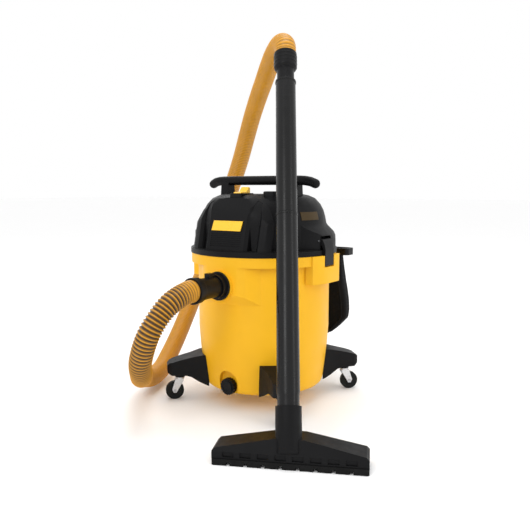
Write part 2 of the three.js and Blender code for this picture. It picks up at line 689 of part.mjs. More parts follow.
addPart("hose_cuff", turnedRing([
  [24, 0], [CUFF_RADIUS, 0], [CUFF_RADIUS, 4 - CUFF_LENGTH], [27, -CUFF_LENGTH],
  [SPIGOT_RADIUS, -CUFF_LENGTH - 3], [SPIGOT_RADIUS, -116], [18.5, -116], [18.5, -44], [24, -38],
], 28), "black", wands);

addPart("wand_upper", turnedRing([
  [WAND_RADIUS, -UPPER_WAND.top], [WAND_RADIUS, -UPPER_WAND.bottom],
  [SPIGOT_RADIUS, -UPPER_WAND.bottom], [SPIGOT_RADIUS, -UPPER_WAND.bottom - SPIGOT_LENGTH],
  [18.7, -UPPER_WAND.bottom - SPIGOT_LENGTH], [18.7, -UPPER_WAND.bottom], [21.6, -426],
  [21.6, -122], [SOCKET_RADIUS, -118], [SOCKET_RADIUS, -UPPER_WAND.top],
], 28), "black", wands);

const lowerTop = UPPER_WAND.bottom + GAP;
addPart("wand_lower", turnedRing([
  [WAND_RADIUS + 0.3, -lowerTop], [WAND_RADIUS + 0.3, -858], [WAND_RADIUS - 1, -866],
  [WAND_RADIUS - 1, -LOWER_WAND_BOTTOM], [SPIGOT_RADIUS, -LOWER_WAND_BOTTOM],
  [SPIGOT_RADIUS, -LOWER_WAND_BOTTOM - SPIGOT_LENGTH], [18.7, -LOWER_WAND_BOTTOM - SPIGOT_LENGTH],
  [18.7, -LOWER_WAND_BOTTOM], [21.6, -866], [21.6, -492], [SOCKET_RADIUS, -488],
  [SOCKET_RADIUS, -lowerTop],
], 28), "black", wands);

// ---- Floor nozzle: X along the sole, Y from its front edge towards the vacuum ---------------
const nozzle = new THREE.Group();
nozzle.position.set(NOZZLE_CENTRE.x, NOZZLE_CENTRE.y, 0);
nozzle.rotation.z = NOZZLE_TURN;
vacuum.add(nozzle);

// Stands a shape that was turned about Z on the wand's axis, in the nozzle's own frame.
function onWandAxis(geometry) {
  const up = new THREE.Vector3(0, 0, 1);
  const local = new THREE.Matrix4().makeRotationZ(NOZZLE_TURN);
  local.setPosition(NOZZLE_CENTRE.x, NOZZLE_CENTRE.y, 0).invert();
  const tilt = new THREE.Quaternion().setFromUnitVectors(up, wandAxis);
  geometry.applyQuaternion(tilt).translate(WAND_TOP.x, WAND_TOP.y, WAND_TOP.z);
  return geometry.applyMatrix4(local);
}

function nozzleBodyGeometry() {
  const half = NOZZLE_LENGTH / 2;
  const front = outline([
    [-half, SOLE_HEIGHT], [half, SOLE_HEIGHT], [half, 30], [half - 6, 36], [30, 60], [-30, 60],
    [6 - half, 36], [-half, 30],
  ]);
  const side = outline([
    [3, SOLE_HEIGHT], [NOZZLE_DEPTH - 3, SOLE_HEIGHT], [NOZZLE_DEPTH - 3, 70], [22, 70], [3, 27],
  ]);
  const hood = common(alongY(front, 0, NOZZLE_DEPTH), alongX(side, -half - 5, half + 5));
  const collarTop = -LOWER_WAND_BOTTOM - GAP;
  const collar = cut(
    onWandAxis(rod(COLLAR_RADIUS, -985, collarTop, 28)),
    box(-60, 60, -60, 2, 0, 66),
  );
  const socket = onWandAxis(rod(SOCKET_RADIUS, collarTop - SPIGOT_LENGTH - 1, -880, 28));
  const throat = onWandAxis(rod(18, -960, -880, 20));
  const neck = box(-22, 22, 20, 58, 10, 52);
  const belowSole = box(-200, 200, -50, 120, -40, SOLE_HEIGHT);
  const chamber = box(12 - half, half - 12, 12, NOZZLE_DEPTH - 12, 0, 26);
  const recesses = [];
  for (let i = 0; i < NOTCHES; i++) {
    const x = (i - (NOTCHES - 1) / 2) * 37;
    recesses.push(box(x - 12, x + 12, 0, 6, 18, 29));
  }
  return cut(join(hood, collar), belowSole, chamber, neck, socket, throat, ...recesses);
}
addPart("nozzle_body", nozzleBodyGeometry(), "black", nozzle);

function nozzleStripGeometry() {
  const half = NOZZLE_LENGTH / 2;
  const frame = alongZ(roundedBox(NOZZLE_LENGTH, NOZZLE_DEPTH, 5, 0, NOZZLE_DEPTH / 2), 0,
    SOLE_HEIGHT - GAP);
  const mouth = box(12 - half, half - 12, 14, NOZZLE_DEPTH - 14, -OVERCUT, SOLE_HEIGHT + OVERCUT);
  const notches = [];
  for (let i = 0; i < NOTCHES; i++) {
    const x = (i - (NOTCHES - 1) / 2) * 37;
    notches.push(box(x - 4, x + 4, -OVERCUT, NOZZLE_DEPTH + OVERCUT, -OVERCUT, 7));
  }
  return cut(frame, mouth, ...notches);
}
addPart("nozzle_strip", nozzleStripGeometry(), "rubber", nozzle);

// ---- Tool bag and its bracket -------------------------------------------------------------
function bracketGeometry() {
  const middle = BAG_PLANE + BAG_DEPTH / 2;
  const frame = cut(
    alongZ(roundedBox(312, BAG_DEPTH + 2, 12, 0, middle), 386, 406),
    alongZ(roundedBox(300, BAG_DEPTH - 10, 8, 0, middle), 380, 410),
  );
  const saddle = box(-52, 52, 180, BAG_PLANE + 3, 386, 406);
  return cut(join(frame, saddle), rod(RING_RADIUS + GAP, 300, 500, 64));
}
addPart("tool_bag_bracket", bracketGeometry(), "black");

// Half of the bag's outline, inset by a margin on every side but the top.
function bagOutline(margin, top) {
  const half = [
    [127 - margin, top], [134 - margin, 305], [144 - margin, 250], [146 - margin, 197 + margin / 2],
    [93 - margin / 2, 145 + margin], [72, 138 + margin],
  ];
  return outline([...half, ...half.map(([x, z]) => [-x, z]).reverse()]);
}
addPart("tool_bag", cut(
  alongY(bagOutline(0, 386 - GAP), BAG_PLANE + 4, BAG_PLANE + BAG_DEPTH),
  alongY(bagOutline(5, 400), BAG_PLANE + 8, BAG_PLANE + BAG_DEPTH - 4),
), "fabric");

export default vacuum;
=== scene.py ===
# Looks of the shop vacuum: Blender 4.5, metres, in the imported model's frame.
import math

import bmesh
import bpy
from mathutils import Matrix, Vector


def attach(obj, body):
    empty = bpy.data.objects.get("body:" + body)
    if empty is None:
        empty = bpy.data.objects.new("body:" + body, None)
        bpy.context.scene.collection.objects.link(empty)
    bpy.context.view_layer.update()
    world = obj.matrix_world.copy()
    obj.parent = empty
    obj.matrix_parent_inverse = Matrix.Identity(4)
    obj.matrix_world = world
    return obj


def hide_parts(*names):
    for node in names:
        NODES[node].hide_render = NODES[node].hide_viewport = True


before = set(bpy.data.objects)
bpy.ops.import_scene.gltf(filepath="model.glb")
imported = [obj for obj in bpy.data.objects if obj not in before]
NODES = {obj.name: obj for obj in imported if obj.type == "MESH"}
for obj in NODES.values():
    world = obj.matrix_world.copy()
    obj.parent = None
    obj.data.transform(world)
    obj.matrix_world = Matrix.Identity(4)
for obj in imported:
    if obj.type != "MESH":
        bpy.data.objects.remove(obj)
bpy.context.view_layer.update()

FLOOR = -0.043  # the frame's origin is the drum's underside, 43 mm above the floor
MM = 0.001
CORNER_ANGLES = {"front_left": 225, "front_right": 315, "rear_right": 45, "rear_left": 135}
WHEEL_CIRCLE = 252  # the wheels' middles lie on this radius, in millimetres
WHEEL_HEIGHT = 25


def at(x, y, z):
    """A point given in millimetres, with its height above the floor."""
    return Vector((x * MM, y * MM, z * MM + FLOOR))


# ---- Camera ---------------------------------------------------------------------------------
def make_camera():
    data = bpy.data.cameras.new("camera")
    data.lens = 42.91
    data.sensor_width = 36
    camera = bpy.data.objects.new("camera", data)
    camera.location = at(985.6, -1446.0, 581.3)
    camera.rotation_euler = (math.radians(90 - 6.95), 0, math.radians(34.18))
    bpy.context.scene.collection.objects.link(camera)
    bpy.context.scene.camera = camera


make_camera()


# ---- Node helpers ---------------------------------------------------------------------------
class Graph:
    """A short way to add and join the nodes of one material."""

    def __init__(self, name):
        self.material = bpy.data.materials.new(name)
        self.material.use_nodes = True
        self.nodes = self.material.node_tree.nodes
        self.links = self.material.node_tree.links
        self.shader = self.nodes["Principled BSDF"]
        self.place = self.add("ShaderNodeTexCoord").outputs["Object"]

    def add(self, kind, **values):
        node = self.nodes.new(kind)
        for key, value in values.items():
            if hasattr(node, key):
                setattr(node, key, value)
            else:
                node.inputs[key.replace("_", " ")].default_value = value
        return node

    def join(self, source, target):
        self.links.new(source, target)

    def noise(self, scale, detail=3.0, roughness=0.5, place=None):
        node = self.add("ShaderNodeTexNoise", Scale=scale, Detail=detail, Roughness=roughness)
        self.join(place or self.place, node.inputs["Vector"])
        return node.outputs["Fac"]

    def stretched(self, scale):
        node = self.add("ShaderNodeMapping")
        node.inputs["Scale"].default_value = scale
        self.join(self.place, node.inputs["Vector"])
        return node.outputs["Vector"]

    def spread(self, source, low, high, start=0.3, end=0.7):
        node = self.add("ShaderNodeMapRange")
        node.inputs["From Min"].default_value = start
        node.inputs["From Max"].default_value = end
        node.inputs["To Min"].default_value = low
        node.inputs["To Max"].default_value = high
        self.join(source, node.inputs["Value"])
        return node.outputs["Result"]

    def mix(self, factor, first, second):
        node = self.add("ShaderNodeMix", data_type="RGBA")
        for socket, value in ((node.inputs[6], first), (node.inputs[7], second)):
            if hasattr(value, "is_output"):
                self.join(value, socket)
            else:
                socket.default_value = (*value, 1)
        self.join(factor, node.inputs[0])
        return node.outputs[2]

    def maths(self, operation, first, second):
        node = self.add("ShaderNodeMath", operation=operation)
        for socket, value in zip(node.inputs, (first, second)):
            if hasattr(value, "is_output"):
                self.join(value, socket)
            else:
                socket.default_value = value
        return node.outputs[0]

    def bump(self, height, distance, strength=1.0, below=None):
        node = self.add("ShaderNodeBump", Strength=strength, Distance=distance)
        self.join(height, node.inputs["Height"])
        if below is not None:
            self.join(below, node.inputs["Normal"])
        self.join(node.outputs["Normal"], self.shader.inputs["Normal"])
        return node.outputs["Normal"]

    def colour(self, source):
        self.join(source, self.shader.inputs["Base Color"])

    def roughness(self, source):
        self.join(source, self.shader.inputs["Roughness"])


def shade(colour, factor):
    return tuple(min(1.0, max(0.0, c * factor)) for c in colour)


def moulded(name, colour, rough, grain=0.05, variation=0.07, gloss=0.5, scuffs=0.5, coat=0.0):
    """Injection-moulded plastic: flow marks, a fine spark-eroded grain and handling marks."""
    g = Graph(name)
    flow = g.noise(7, 4, 0.55)
    cloud = g.noise(38, 3, 0.6)
    tone = g.mix(g.spread(flow, 0, 1), shade(colour, 1 - variation), shade(colour, 1 + variation))
    marks = g.noise(1, 5, 0.7, g.stretched((55, 55, 9)))
    worn = g.spread(marks, 0, scuffs, 0.62, 0.8)
    pale = tuple(min(1.0, c * 1.08 + 0.006) for c in colour)
    g.colour(g.mix(worn, tone, pale))
    base = g.spread(cloud, rough - 0.05, rough + 0.07)
    g.roughness(g.maths("ADD", base, g.maths("MULTIPLY", worn, 0.14)))
    pebbles = g.add("ShaderNodeTexVoronoi", Scale=1500)
    g.join(g.place, pebbles.inputs["Vector"])
    fine = g.maths("ADD", g.noise(900, 2, 0.6), pebbles.outputs["Distance"])
    wave = g.bump(g.noise(26, 2, 0.4), 0.0012, 0.10)
    g.bump(fine, grain * MM, 0.55, wave)
    g.shader.inputs["Specular IOR Level"].default_value = gloss
    g.shader.inputs["Coat Weight"].default_value = coat
    g.shader.inputs["Coat Roughness"].default_value = 0.25
    return g.material


def rubber(name, colour, rough=0.8):
    """Dusty moulded rubber with a fine pitted surface."""
    g = Graph(name)
    dust = g.spread(g.noise(24, 5, 0.7), 0, 0.5, 0.5, 0.75)
    g.colour(g.mix(dust, colour, tuple(c * 1.5 + 0.006 for c in colour)))
    g.roughness(g.spread(g.noise(60, 3), rough - 0.1, rough + 0.1))
    g.bump(g.noise(700, 4, 0.7), 0.06 * MM, 0.7)
    g.shader.inputs["Specular IOR Level"].default_value = 0.15
    return g.material


def metal(name, colour, rough, stretch=(900, 40, 40), spangle=0.1):
    """Plated or turned metal with a brushed or crystalline finish."""
    g = Graph(name)
    crystals = g.add("ShaderNodeTexVoronoi", Scale=420)
    g.join(g.place, crystals.inputs["Vector"])
    patch = g.spread(crystals.outputs["Color"], 0, 1, 0.1, 0.9)
    stains = g.spread(g.noise(70, 5, 0.7), 0, 1, 0.35, 0.8)
    tone = g.mix(patch, shade(colour, 1 - spangle), shade(colour, 1 + spangle))
    g.colour(g.mix(g.maths("MULTIPLY", stains, 0.35), tone, shade(colour, 0.6)))
    g.roughness(g.spread(g.noise(1, 3, 0.6, g.stretched(stretch)), rough - 0.08, rough + 0.12))
    g.bump(g.noise(1, 2, 0.5, g.stretched(stretch)), 0.03 * MM, 0.5)
    g.shader.inputs["Metallic"].default_value = 1.0
    return g.material


def paper(name):
    """Pleated filter paper, stained by dust."""
    g = Graph(name)
    dirt = g.spread(g.noise(30, 5, 0.7), 0, 0.6, 0.45, 0.8)
    g.colour(g.mix(dirt, (0.76, 0.73, 0.64), (0.42, 0.38, 0.3)))
    g.roughness(g.spread(g.noise(200, 3), 0.85, 1.0))
    g.bump(g.noise(1500, 4, 0.8), 0.1 * MM, 0.8)
    return g.material


def woven(name, colour):
    """Coarse nylon pack cloth: a plain weave of crossed yarns with a faint coating sheen."""
    g = Graph(name)
    warp = g.add("ShaderNodeTexWave", wave_type="BANDS", bands_direction="X", Scale=330)
    weft = g.add("ShaderNodeTexWave", wave_type="BANDS", bands_direction="Z", Scale=330)
    for wave in (warp, weft):
        wave.inputs["Distortion"].default_value = 0.6
        wave.inputs["Detail"].default_value = 1.0
        g.join(g.place, wave.inputs["Vector"])
    weave = g.maths("MULTIPLY", warp.outputs["Fac"], weft.outputs["Fac"])
    lint = g.spread(g.noise(55, 5, 0.7), 0, 0.5, 0.5, 0.8)
    tone = g.mix(weave, shade(colour, 0.6), shade(colour, 1.5))
    g.colour(g.mix(lint, tone, tuple(c + 0.004 for c in colour)))
    g.roughness(g.spread(g.noise(130, 3), 0.72, 0.92))
    folds = g.bump(g.noise(22, 4, 0.5), 0.004, 0.18)
    g.bump(weave, 0.35 * MM, 0.8, folds)
    g.shader.inputs["Sheen Weight"].default_value = 0.04
    g.shader.inputs["Specular IOR Level"].default_value = 0.15
    return g.material


YELLOW = (0.88, 0.465, 0.012)
BLACK = (0.0045, 0.0045, 0.005)

mat_drum = moulded("yellow_plastic", YELLOW, 0.42, 0.035, 0.035, 0.22, 0.25)
mat_black = moulded("black_plastic", BLACK, 0.46, 0.07, 0.16, 0.13, 0.2)
mat_black_smooth = moulded("black_plastic_satin", BLACK, 0.36, 0.03, 0.16, 0.16, 0.15)
mat_wand = moulded("wand_plastic", (0.0045, 0.0045, 0.0048), 0.27, 0.004, 0.14, 0.26, 0.1)
mat_seal = rubber("seal_rubber", (0.006, 0.006, 0.006))
mat_tyre = rubber("wheel_rubber", (0.008, 0.009, 0.0085), 0.55)
mat_zinc = metal("zinc_plate", (0.66, 0.67, 0.69), 0.34, (60, 60, 60), 0.12)
mat_steel = metal("steel", (0.46, 0.47, 0.49), 0.3)
mat_fan = metal("fan_aluminium", (0.62, 0.63, 0.64), 0.36, (300, 300, 20))
mat_paper = paper("filter_paper")
mat_cloth = woven("bag_fabric", (0.0045, 0.0045, 0.005))
mat_webbing = woven("webbing", (0.009, 0.009, 0.0095))
mat_label = moulded("label", (0.050, 0.030, 0.008), 0.38, 0.01, 0.10, 0.2, 0.3)
mat_plate = moulded("plate_yellow", (0.93, 0.53, 0.018), 0.3, 0.01, 0.03, 0.5, 0.1, 0.3)


def hose_material():
    """Glossy ribs, with painted shade in the grooves: darker where the attribute says that an open
    groove lies.
    """
    g = Graph("hose_plastic")
    painted_groove_shade = g.add("ShaderNodeAttribute", attribute_name="painted_groove_shade").outputs["Fac"]
    flow = g.spread(g.noise(16, 4, 0.6), 0, 1)
    tone = g.mix(flow, (0.62, 0.275, 0.004), (0.71, 0.315, 0.005))
    # Painted shade: the grooves are mixed towards near-black brown as their shade attribute rises.
    g.colour(g.mix(painted_groove_shade, tone, (0.020, 0.008, 0.001)))
    g.roughness(g.spread(g.noise(80, 3), 0.34, 0.48))
    g.bump(g.noise(260, 3, 0.6), 0.12 * MM, 0.35)
    g.shader.inputs["Specular IOR Level"].default_value = 0.5
    return g.material


mat_hose = hose_material()


# ---- Mesh helpers ---------------------------------------------------------------------------
def new_piece(name, verts, faces, material, body):
    mesh = bpy.data.meshes.new(name)
    mesh.from_pydata([tuple(v) for v in verts], [], faces)
    mesh.validate()
    mesh.materials.append(material)
    for polygon in mesh.polygons:
        polygon.use_smooth = True
    piece = bpy.data.objects.new(name, mesh)
    bpy.context.scene.collection.objects.link(piece)
    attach(piece, body)
    return piece


def bevel(piece, width, segments=2, angle=30):
    modifier = piece.modifiers.new("bevel", "BEVEL")
    modifier.width = width
    modifier.segments = segments
    modifier.limit_method = "ANGLE"
    modifier.angle_limit = math.radians(angle)
    modifier.use_clamp_overlap = True
    normals = piece.modifiers.new("normals", "WEIGHTED_NORMAL")
    normals.keep_sharp = False
    return piece


WELD_DISTANCE = 0.02 * MM
FLAT_ANGLE = 0.4  # degrees between facets that count as one flat face


def dress(node, material, width=0.6, segments=2, angle=33):
    """Gives a CAD node its material, and rounds its sharp edges by a bevel of some millimetres."""
    piece = NODES[node]
    piece.data.materials.clear()
    piece.data.materials.append(material)
    for polygon in piece.data.polygons:
        polygon.use_smooth = True
    weld = piece.modifiers.new("weld", "WELD")
    weld.merge_threshold = WELD_DISTANCE
    flat = piece.modifiers.new("flat", "DECIMATE")
    flat.decimate_type = "DISSOLVE"
    flat.angle_limit = math.radians(FLAT_ANGLE)
    return bevel(piece, width * MM, segments, angle)


def tube(name, points, radius, material, body, sides, closed=False):
    """A round bar along a polyline, with its frames carried along without twist."""
    count = len(points)
    verts, faces = [], []
    normal = None
    for i, point in enumerate(points):
        if closed:
            tangent = (points[(i + 1) % count] - points[i - 1]).normalized()
        else:
            tangent = (points[min(i + 1, count - 1)] - points[max(i - 1, 0)]).normalized()
        if normal is None:
            helper = Vector((0, 0, 1)) if abs(tangent.z) < 0.9 else Vector((1, 0, 0))
            normal = tangent.cross(helper).normalized()
        normal = (normal - tangent * normal.dot(tangent)).normalized()
        side = tangent.cross(normal)
        for k in range(sides):
            angle = 2 * math.pi * k / sides
            verts.append(point + (normal * math.cos(angle) + side * math.sin(angle)) * radius)
    rings = count if closed else count - 1
    for i in range(rings):
        a, b = i * sides, ((i + 1) % count) * sides
        for k in range(sides):
            n = (k + 1) % sides
            faces.append((a + k, b + k, b + n, a + n))
    if not closed:
        faces.append(tuple(reversed(range(sides))))
        faces.append(tuple(range((count - 1) * sides, count * sides)))
    return new_piece(name, verts, [f[::-1] for f in faces], material, body)


# ---- Hose -----------------------------------------------------------------------------------
HOSE_ROUTE = [
    (0, -308.3, 335), (0, -320, 335), (-8, -380, 312), (-29, -422, 253), (-62, -420, 183),
    (-106, -376, 128), (-159, -323, 102), (-212, -271, 81), (-258, -215, 55), (-290, -149, 37),
    (-321, -80, 39), (-352, -13, 62), (-378, 52, 97), (-398, 112, 142), (-408, 164, 198),
    (-410, 207, 261), (-403, 239, 329), (-389, 262, 401), (-369, 277, 473), (-344, 284, 544),
    (-314, 285, 614), (-281, 278, 683), (-246, 261, 748), (-205, 234, 807), (-159, 200, 856),
    (-108, 158, 897), (-60, 116, 931), (-12, 70, 952), (30, 32, 962), (62, 0, 956),
    (79.8, -18.9, 942.4), (84.9, -26.36, 922.4),
]
HOSE_RADIUS = 27.5 * MM
HOSE_SIDES = 28
STEPS_BETWEEN_POINTS = 40
SAMPLES_PER_RIB = 8
RIB_PITCH = 6.0  # millimetres, where the hose is pushed together
RIB_PITCH_STRETCHED = 8.6
GROOVE_DEPTH = 1.1
GROOVE_DEPTH_STRETCHED = 3.7


def smooth_path(route, steps):
    """The centripetal Catmull-Rom curve through the route, as closely spaced points."""
    points = [at(*p) for p in route]
    padded = [points[0] * 2 - points[1], *points, points[-1] * 2 - points[-2]]
    path = []
    for i in range(1, len(padded) - 2):
        p0, p1, p2, p3 = padded[i - 1:i + 3]
        d0, d1, d2 = ((b - a).length ** 0.5 for a, b in ((p0, p1), (p1, p2), (p2, p3)))
        m1 = ((p1 - p0) / d0 - (p2 - p0) / (d0 + d1) + (p2 - p1) / d1) * d1
        m2 = ((p2 - p1) / d1 - (p3 - p1) / (d1 + d2) + (p3 - p2) / d2) * d1
        for k in range(steps):
            t = k / steps
            a = 2 * t ** 3 - 3 * t ** 2 + 1
            b = t ** 3 - 2 * t ** 2 + t
            c = -2 * t ** 3 + 3 * t ** 2
            d = t ** 3 - t ** 2
            path.append(p1 * a + m1 * b + p2 * c + m2 * d)
    path.append(points[-1])
    return path


def ramp(value, low, high):
    """Rises smoothly from 0 at low to 1 at high."""
    t = min(1.0, max(0.0, (value - low) / (high - low)))
    return t * t * (3 - 2 * t)


def hose_stations(length):
    """For each ring of points: how far along it is, how deep in the groove, and how much painted
    groove shade it gets.
    """
    stations = []
    start = 0.0
    while start < length:
        stretch = ramp(start, 0.0, 0.05) * (1 - ramp(start, 0.26, 0.42))
        pitch = (RIB_PITCH + (RIB_PITCH_STRETCHED - RIB_PITCH) * stretch) * MM
        depth = (GROOVE_DEPTH + (GROOVE_DEPTH_STRETCHED - GROOVE_DEPTH) * stretch) * MM
        for k in range(SAMPLES_PER_RIB):
            u = k / SAMPLES_PER_RIB
            ridge = (0.5 + 0.5 * math.cos(2 * math.pi * u)) ** (0.7 + 0.5 * stretch)
            where = start + u * pitch
            if where < length - 0.4 * MM:
                # Painted shade: deeper grooves get more of it, and so do grooves where the hose is
                # stretched open.
                painted_shade = (1 - ridge) ** (1.1 - 0.6 * stretch) * (0.58 + 0.42 * stretch)
                stations.append((where, depth * (1 - ridge), painted_shade))
        start += pitch
    stations.append((length, 1.2 * MM, 0.3))
    return stations


def make_hose():
    """The corrugated hose, stretched and with open grooves near the connector."""
    path = smooth_path(HOSE_ROUTE, STEPS_BETWEEN_POINTS)
    distance = [0.0]
    for a, b in zip(path, path[1:]):
        distance.append(distance[-1] + (b - a).length)
    length = distance[-1]
    stations = hose_stations(length)
    sides = HOSE_SIDES
    verts, faces, painted_groove_shade = [], [], []
    normal, i = None, 0
    for where, depth, painted_shade in stations:
        while i < len(path) - 2 and distance[i + 1] < where:
            i += 1
        t = (where - distance[i]) / max(1e-9, distance[i + 1] - distance[i])
        centre = path[i].lerp(path[i + 1], min(1.0, t))
        before, after = path[max(0, i - 2)], path[min(len(path) - 1, i + 3)]
        tangent = (after - before).normalized()
        if normal is None:
            normal = tangent.cross(Vector((0, 0, 1))).normalized()
        normal = (normal - tangent * normal.dot(tangent)).normalized()
        side = tangent.cross(normal)
        for k in range(sides):
            angle = 2 * math.pi * k / sides
            spoke = normal * math.cos(angle) + side * math.sin(angle)
            verts.append(centre + spoke * (HOSE_RADIUS - depth))
            painted_groove_shade.append(painted_shade)
    for ring in range(len(stations) - 1):
        a, b = ring * sides, (ring + 1) * sides
        for k in range(sides):
            n = (k + 1) % sides
            faces.append((a + k, a + n, b + n, b + k))
    faces.append(tuple(reversed(range(sides))))
    faces.append(tuple(range((len(stations) - 1) * sides, len(stations) * sides)))
    hose = new_piece("corrugated_hose", verts, faces, mat_hose, "base")
    # The painted groove shade goes to the hose material as a point attribute.
    attribute = hose.data.attributes.new("painted_groove_shade", "FLOAT", "POINT")
    attribute.data.foreach_set("value", painted_groove_shade)
    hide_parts("hose")


make_hose()

# ---- CAD nodes that keep their shape ----------------------------------------------------------
dress("drum", mat_drum, 1.0, 2)
for node in ("head_base", "head_cover"):
    dress(node, mat_black, 1.0, 2)
dress("handle", mat_black, 0.8, 2, 40)
dress("switch_bezel", mat_black_smooth, 0.6)
dress("switch_rocker", mat_plate, 1.0, 3)
dress("name_plate", mat_plate, 0.5)
dress("rating_label", mat_label, 0.2)
dress("blower_port_cap", mat_black_smooth, 0.7)
dress("cord_gland", mat_seal, 0.4)
for side in ("left", "right"):
    dress(f"latch_{side}", mat_black_smooth, 0.8, 3)
    dress(f"latch_pin_{side}", mat_steel, 0.2)
for node in ("inlet_flange", "hose_connector", "connector_lock_tab", "drain_cap", "hose_cuff"):
    dress(node, mat_black_smooth, 0.5, 2)
dress("inlet_deflector", mat_black, 0.4)
dress("drain_seal", mat_seal, 0.2)
dress("head_seal", mat_seal, 0.3)
for node in ("wand_upper", "wand_lower"):
    dress(node, mat_wand, 0.5, 2)
dress("nozzle_body", mat_black, 0.9, 2)
dress("nozzle_strip", mat_seal, 0.5)
for node in ("motor", "motor_shaft"):
    dress(node, mat_steel, 0.4)
dress("impeller", mat_fan, 0.2)
for node in ("fan_housing", "float_cage", "filter_cap"):
    dress(node, mat_black, 0.4)
dress("float_ball", mat_drum, 0.2)
dress("filter", mat_paper, 0.2, 1, 60)
dress("tool_bag_bracket", mat_black_smooth, 1.2, 3)
for corner in CORNER_ANGLES:
    dress(f"foot_{corner}", mat_black, 1.5, 3)
    dress(f"caster_fork_{corner}", mat_zinc, 0.4)
    dress(f"caster_wheel_{corner}", mat_tyre, 1.6, 3, 40)
    dress(f"caster_axle_{corner}", mat_steel, 0.5)


# ---- Tool bag: a sewn shell that hangs from its bracket ------------------------------------------
BAG_TOP = 386
BAG_BOTTOM = 138
BAG_EDGE = [  # height and half width down the bag
    (BAG_TOP, 127), (345, 130), (305, 134), (250, 144), (220, 147), (197, 146), (170, 121),
    (150, 99), (141, 80), (BAG_BOTTOM, 72),
]
BAG_INNER_FACE = 205.5  # the side against the drum, distance behind the axis
POCKET_EDGE = 0.66  # radians round the bag, where the pocket's sides are sewn on
PIPING_TURN = 0.62


def bag_drop(height):
    """How far down the bag a height is, from 0 at its mouth to 1 at its foot."""
    return (BAG_TOP - height) / (BAG_TOP - BAG_BOTTOM)


def bag_width(height):
    """Half the bag's width at a height, between the listed points."""
    for (high, wide), (low, narrow) in zip(BAG_EDGE, BAG_EDGE[1:]):
        if height >= low:
            t = (high - height) / (high - low)
            return wide + (narrow - wide) * t
    return BAG_EDGE[-1][1]


def bag_depth(height):
    """The bag's depth at a height: it bellies out below the middle and pinches in at its foot."""
    drop = bag_drop(height)
    return 39 + 15 * math.sin(math.pi * min(1, drop * 1.12)) ** 1.3 - 17 * ramp(drop, 0.86, 1.0)


def bag_crease(x, height):
    """Slack folds that run down from the corners of the mouth."""
    drop = bag_drop(height)
    fold = math.sin(x * 0.051 + 2.3 * drop) * 1.6 * ramp(drop, 0.05, 0.5)
    fold += math.sin(x * 0.113 - 4.1 * drop + 0.7) * 0.9
    fold += math.sin(x * 0.031 + height * 0.072) * 1.3 * ramp(drop, 0.3, 0.7)
    return fold * (1 - ramp(drop, 0.9, 1.0))


def bag_point(turn, height, stand=0.0):
    """A point on the shell: turn goes once round it, and stand moves it outwards."""
    across, out = math.cos(turn), math.sin(turn)
    half = bag_width(height) + stand
    depth = bag_depth(height)
    x = half * math.copysign(abs(across) ** 0.42, across)
    middle = BAG_INNER_FACE + depth / 2
    y = middle + (depth / 2 + stand) * math.copysign(abs(out) ** 0.5, out)
    if out > 0.1:
        y += bag_crease(x, height) * min(1, out * 2)
    return at(x, y, height)


def thicken(piece, thickness, offset):
    """Gives a sheet of cloth its thickness, in millimetres."""
    cloth = piece.modifiers.new("cloth", "SOLIDIFY")
    cloth.thickness = thickness * MM
    cloth.offset = offset


def make_bag():
    """The shell, the binding round its mouth and the piping down its corners."""
    around, rows = 112, 44
    heights = [BAG_TOP - (BAG_TOP - BAG_BOTTOM) * (i / (rows - 1)) for i in range(rows)]
    verts = [bag_point(2 * math.pi * k / around, h) for h in heights for k in range(around)]
    faces = []
    for i in range(rows - 1):
        for k in range(around):
            n = (k + 1) % around
            a, b = i * around, (i + 1) * around
            faces.append((a + k, b + k, b + n, a + n))
    faces.append(tuple((rows - 1) * around + k for k in reversed(range(around))))
    shell = new_piece("tool_bag_shell", verts, faces, mat_cloth, "base")
    thicken(shell, 1.8, -1)
    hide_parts("tool_bag")

    mouth = [bag_point(2 * math.pi * k / 72, BAG_TOP - 1.5, 0.6) for k in range(72)]
    tube("tool_bag_binding", mouth, 2.1 * MM, mat_webbing, "base", 8, True)
    for name, turn in (("outer", PIPING_TURN), ("inner", -PIPING_TURN)):
        for side, angle in (("right", turn), ("left", math.pi - turn)):
            edge = [bag_point(angle, h, 0.3) for h in heights[1:]]
            tube(f"tool_bag_piping_{name}_{side}", edge, 1.5 * MM, mat_webbing, "base", 8)


def band_on_bag(name, low, high, start, end, stand, material):
    """A second layer sewn on the outer face, between two heights and two turns round the bag."""
    across, up = 40, max(2, int((high - low) / 8))
    verts = []
    for i in range(up + 1):
        for k in range(across + 1):
            turn = start + (end - start) * k / across
            verts.append(bag_point(turn, low + (high - low) * i / up, stand))
    faces = []
    for i in range(up):
        for k in range(across):
            a = i * (across + 1) + k
            faces.append((a, a + 1, a + across + 2, a + across + 1))
    band = new_piece(name, verts, faces, material, "base")
    thicken(band, 1.2, 0)


make_bag()
pocket_sides = (POCKET_EDGE, math.pi - POCKET_EDGE)
band_on_bag("tool_bag_pocket", 166, 292, *pocket_sides, 1.3, mat_cloth)
band_on_bag("tool_bag_pocket_hem", 284, 294, *pocket_sides, 2.5, mat_webbing)
for index, turn in enumerate((1.1, math.pi / 2, math.pi - 1.1)):
    stitch_sides = (turn - 0.012, turn + 0.012)
    band_on_bag(f"tool_bag_seam_{index}", 168, 286, *stitch_sides, 2.6, mat_webbing)


